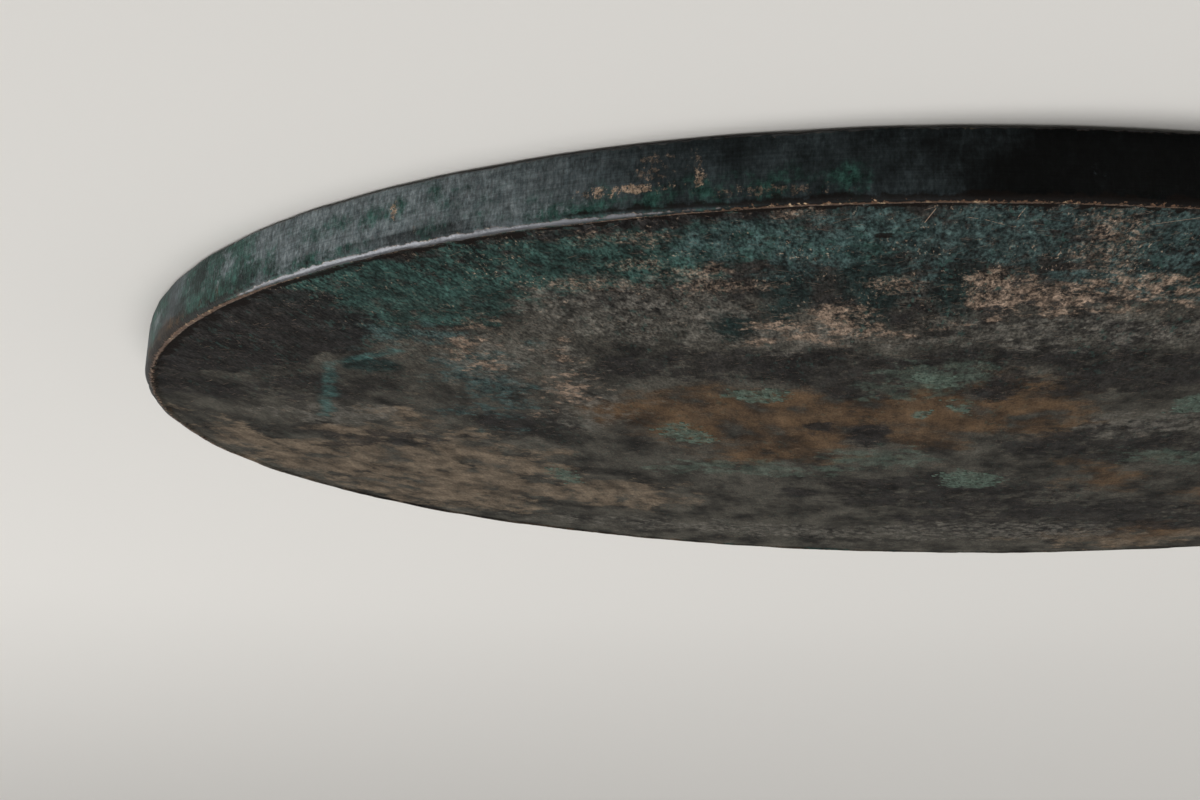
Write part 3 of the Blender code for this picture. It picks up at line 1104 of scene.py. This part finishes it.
def face_material(patina):
    """Cast bronze, polished once and long buried.

    The eye sees a dry, matt skin: lead grey under clouds of teal and blue-black, copper-pink and ochre
    where it is thin, powdery mint crust, and a fine gritty grain all over.
    """
    material, tree, place = new_material("bronze_buried_face")
    drawn = stretched(tree, place, SCRAPED)
    mottled = stretched(tree, place, MOTTLED)
    calm = add(tree, "Attribute", attribute_name="calm").outputs["Fac"]
    rough = add(tree, "MapRange", {"Value": calm, "To Min": 0.8, "To Max": 0.62})
    colour = patina_colour(tree, place, mottled, patina, "grey", FACE_LAYERS, rough)
    amount = add(tree, "MapRange", {"Value": calm, "To Min": 1.0, "To Max": 0.32})
    dots = ((patina.charcoal_dark, 0.36, 0.545, 0.9), (patina.teal_light, 0.5, 0.58, 0.6))
    colour = gritty(tree, drawn, colour, dots, amount)
    streaks = blotches(tree, stretched(tree, place, (1.3, 12.0, 4.0)), 1.0, 0.3, 0.7, seed=49.0)
    colour = shaded(tree, colour, streaks, low=0.88, high=1.1)
    flecks = blotches(tree, drawn, 0.3, 0.56, 0.67, seed=51.0, rough=0.75)
    strewn = blotches(tree, place, 3.0, 0.46, 0.62, seed=55.0)
    fewer = add(tree, "MapRange", {"Value": calm, "From Max": 0.5, "To Min": 0.6, "To Max": 0.12})
    colour = laid_over(tree, colour, patina.fleck_light, flecks, strewn, fewer)
    # Hairline wear in two directions. The real marks are some 0.03 mm wide, drawn wider to show.
    for turn, seed in ((24.0, 81.0), (-38.0, 83.0)):
        fine = stretched(tree, place, (1.8, 0.1, 1.0), turn)
        needles = blotches(tree, fine, 1.0, 0.7, 0.75, seed, detail=1.0)
        colour = laid_over(tree, colour, patina.tan_light, needles, 0.45)
    colour = scratched(tree, place, colour, patina)
    colour = darkened_corners(tree, place, colour, patina, soft=0.12, most=0.92)
    colour, worn = edged(tree, place, colour, patina)
    bumps = rough_cast(tree, drawn, lump=1.6, lump_depth=0.04, grit=0.3, grit_depth=0.025)
    return finish_material(material, colour, bumps, roughness=0.9, specular=0.05, worn=worn)


def wall_material(patina):
    """The turned wall: a smoother tin-rich skin, pewter grey where hands rub it, with painted sheen and
    painted shade.

    Fine strokes run across it and faint turning lines along it. It has a low gloss. Real strokes are
    some 0.05 mm wide, too fine to show, so both kinds are drawn 0.16 to 0.22 mm wide.
    """
    material, tree, place = new_material("bronze_turned_wall")
    # The pewter stretch is also painted sheen towards the key light, and the pitch stretch painted shade
    # away from it.
    colour = patina_colour(tree, place, place, patina, "iron", WALL_LAYERS)
    across = blotches(tree, stretched(tree, place, (0.22, 0.22, 3.0)), 1.0, 0.35, 0.7, seed=85.0, detail=3.0)
    along = blotches(tree, stretched(tree, place, (9.0, 9.0, 0.16)), 1.0, 0.35, 0.7, seed=87.0, detail=2.0)
    colour = shaded(tree, colour, across, low=0.9, high=1.1)
    colour = shaded(tree, colour, along, low=0.86, high=1.14)
    upright = stretched(tree, place, (1.0, 1.0, 2.2))
    colour = gritty(tree, upright, colour, ((patina.charcoal_dark, 0.3, 0.58, 0.8),), 0.5)
    flecks = blotches(tree, upright, 0.26, 0.6, 0.65, seed=53.0, detail=2.0)
    # Silver flecks where the rubbed stretches lie, which are also painted sheen.
    skin = add(tree, "Attribute", attribute_name="rubbed").outputs["Fac"]
    rubbed_and_sheen_skin = add(tree, "MapRange", {"Value": skin, "From Min": -4.0, "From Max": 2.0, "To Max": 0.5})
    colour = laid_over(tree, colour, patina.silver, flecks, rubbed_and_sheen_skin)
    colour, worn = edged(tree, place, colour, patina)
    bumps = ((along, 0.01), (across, 0.012))
    return finish_material(material, colour, bumps, roughness=0.5, specular=0.07, worn=worn)


def back_material(patina):
    """The back as cast: rougher, dull grey and teal with earth, darkened in its corners."""
    material, tree, place = new_material("bronze_cast_back")
    colour = patina_colour(tree, place, place, patina, "grey", BACK_LAYERS)
    dots = ((patina.charcoal_dark, 0.5, 0.57, 0.8), (patina.tan_light, 0.4, 0.62, 0.6))
    colour = gritty(tree, place, colour, dots, amount=0.8)
    colour = darkened_corners(tree, place, colour, patina, soft=1.4, most=0.55)
    colour, worn = edged(tree, place, colour, patina)
    bumps = rough_cast(tree, place, lump=2.2, lump_depth=0.12, grit=0.5, grit_depth=0.05)
    return finish_material(material, colour, bumps, roughness=0.85, specular=0.1, worn=worn)


def crust_material(patina):
    """Powdery copper carbonate: pale mint to sage, wholly matt."""
    material, tree, place = new_material("carbonate_crust")
    colour = toned(tree, place, patina, "mint", clouds=0.8, seed=25.0)
    grit = blotches(tree, place, 0.2, 0.2, 0.8, seed=91.0, detail=3.0)
    return finish_material(material, colour, ((grit, 0.03),), roughness=0.92, specular=0.1)


def floor_material(colour):
    """Pale matt studio paint, with the faint grain of a roller."""
    material, tree, place = new_material("studio_paint")
    grain = blotches(tree, place, 1.5, 0.3, 0.7, seed=97.0)
    bumps = ((grain, 0.01),)
    return finish_material(material, colour, bumps, roughness=0.9, specular=0.2, strength=0.5)


# --- Studio ---

# Lengths in metres.
FLOOR_RADIUS = 0.35
COVE_RADIUS = 1.6
COVE_SWEEP = math.radians(60)
COVE_STEPS = 24
FLOOR_GAP = 0.05 * MM
COVE_SEGMENTS = 96
KEY_PLACE = (1.1, 0.1, 0.84)
KEY_SIZE = 0.7
FILL_PLACE = (0.0, 0.0, 3.0)
FILL_SIZE = 4.0
SKY = "F2F4F6"
NEAREST_SEEN = 0.005


def studio_floor(material):
    """A round floor that curves up slowly all round, seen from inside."""
    profile = [(FLOOR_RADIUS, -FLOOR_GAP)]
    for angle in np.linspace(0, COVE_SWEEP, COVE_STEPS + 1)[1:]:
        rise = COVE_RADIUS * (1 - math.cos(angle))
        profile.append((FLOOR_RADIUS + COVE_RADIUS * math.sin(angle), rise - FLOOR_GAP))
    turns = 2 * math.pi * np.arange(COVE_SEGMENTS) / COVE_SEGMENTS
    points = [(0.0, 0.0, -FLOOR_GAP)]
    points += [(r * math.cos(t), r * math.sin(t), z) for r, z in profile for t in turns]
    faces = [(0, 1 + k, 1 + (k + 1) % COVE_SEGMENTS) for k in range(COVE_SEGMENTS)]
    for row in range(len(profile) - 1):
        near = 1 + row * COVE_SEGMENTS
        far = near + COVE_SEGMENTS
        for k in range(COVE_SEGMENTS):
            j = (k + 1) % COVE_SEGMENTS
            faces.append((near + k, far + k, far + j, near + j))
    mesh = bpy.data.meshes.new("studio_floor")
    mesh.from_pydata(points, [], faces)
    mesh.materials.append(material)
    mesh.shade_smooth()
    return link("studio_floor", mesh)


def soft_light(name, place, size, power, spread=math.pi):
    """A square area light that faces the mirror."""
    data = bpy.data.lights.new(name, "AREA")
    data.energy = power
    data.size = size
    data.spread = spread
    lamp = link(name, data)
    lamp.location = place
    lamp.rotation_euler = (-Vector(place)).to_track_quat("-Z", "Y").to_euler()


def studio_camera(stage):
    """Low over the near edge, rolled so that the wall shows above the face."""
    away = Vector((0.0, -math.cos(stage.elevation), math.sin(stage.elevation))) * stage.distance
    forward = -away.normalized()
    right = Vector((1.0, 0.0, 0.0))
    level = Matrix((right, right.cross(forward), forward))
    turns = (
        Matrix.Rotation(stage.roll, 3, "Z"),
        Matrix.Rotation(stage.pitch, 3, "X"),
        Matrix.Rotation(stage.yaw, 3, "Y"),
    )
    aim = turns[0] @ turns[1] @ turns[2] @ level
    data = bpy.data.cameras.new("studio_camera")
    data.lens = stage.lens
    data.clip_start = NEAREST_SEEN
    camera = link("studio_camera", data)
    axes = Matrix((aim[0], aim[1], -aim[2])).transposed()
    camera.matrix_world = Matrix.Translation(away + Vector((0.0, 0.0, HIGH.z))) @ axes.to_4x4()
    return camera


# --- Operators ---

SQUARE_CM_IN_M2 = 10000


class MIRROR_OT_plate(bpy.types.Operator):
    """Build the cast plate with its knob, worn relief and patina"""

    bl_idname = "mirror.plate"
    bl_label = "Build plate"

    def execute(self, context):
        plate = context.scene.mirror_plate
        patina = context.scene.mirror_patina
        blank = pierced_plate(plate)
        store_covers(blank, plate)
        tree = relief_tree([face_material(patina), wall_material(patina), back_material(patina)])
        names = ("waviness", "wear", "pitting", "crust", "seed")
        values = {name.capitalize(): getattr(plate, name) for name in names}
        mesh = run_tree(link("plate_relief", blank), tree, values, "mirror_plate")
        mesh.shade_smooth()
        mirror = link("mirror_plate", mesh)
        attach(mirror, BODY)
        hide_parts(NODE)
        return {"FINISHED"}


class MIRROR_OT_crust(bpy.types.Operator):
    """Scatter warts over the mineral crust"""

    bl_idname = "mirror.crust"
    bl_label = "Grow crust"

    def execute(self, context):
        crust = context.scene.mirror_crust
        tree = crust_tree(crust_material(context.scene.mirror_patina))
        values = {"Density": crust.density * SQUARE_CM_IN_M2, "Size": crust.size, "Seed": crust.seed}
        base = link("crust_base", bpy.data.objects["mirror_plate"].data.copy())
        warts = link("mineral_crust", run_tree(base, tree, values, "mineral_crust"))
        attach(warts, BODY)
        return {"FINISHED"}


class MIRROR_OT_stage(bpy.types.Operator):
    """Set the pale floor, the soft lights and the camera"""

    bl_idname = "mirror.stage"
    bl_label = "Set stage"

    def execute(self, context):
        stage = context.scene.mirror_stage
        studio_floor(floor_material(stage.floor))
        soft_light("key_light", KEY_PLACE, KEY_SIZE, stage.key, stage.spread)
        soft_light("fill_light", FILL_PLACE, FILL_SIZE, stage.fill)
        world = bpy.data.worlds.new("even_light")
        world.use_nodes = True
        background = world.node_tree.nodes["Background"]
        background.inputs["Color"].default_value = linear(SKY)
        background.inputs["Strength"].default_value = stage.sky
        context.scene.world = world
        context.scene.view_settings.view_transform = "Standard"
        context.scene.camera = studio_camera(stage)
        return {"FINISHED"}


# --- Panel and registration ---


class MIRROR_PT_panel(bpy.types.Panel):
    """The steps in order, with their settings"""

    bl_label = "Bronze Mirror"
    bl_idname = "MIRROR_PT_panel"
    bl_space_type = "VIEW_3D"
    bl_region_type = "UI"
    bl_category = "Mirror"

    def draw(self, context):
        for operator, groups in STEPS:
            self.layout.operator(operator.bl_idname)
            for group in groups:
                settings = getattr(context.scene, group)
                for name in settings.__annotations__:
                    self.layout.prop(settings, name)


GROUPS = {
    "mirror_plate": MIRROR_PG_plate,
    "mirror_patina": MIRROR_PG_patina,
    "mirror_crust": MIRROR_PG_crust,
    "mirror_stage": MIRROR_PG_stage,
}
STEPS = (
    (MIRROR_OT_plate, ("mirror_plate", "mirror_patina")),
    (MIRROR_OT_crust, ("mirror_crust",)),
    (MIRROR_OT_stage, ("mirror_stage",)),
)
CLASSES = (*GROUPS.values(), *(operator for operator, _ in STEPS), MIRROR_PT_panel)


def register():
    for made in CLASSES:
        bpy.utils.register_class(made)
    for name, group in GROUPS.items():
        setattr(bpy.types.Scene, name, PointerProperty(type=group))


def unregister():
    for name in GROUPS:
        delattr(bpy.types.Scene, name)
    for made in reversed(CLASSES):
        bpy.utils.unregister_class(made)


def corners(box):
    """The box's two corners as plain lists."""
    return [list(corner) for corner in box]


def main():
    register()
    bpy.ops.mirror.plate()
    bpy.ops.mirror.crust()
    bpy.ops.mirror.stage()


if __name__ == "__main__":
    main()
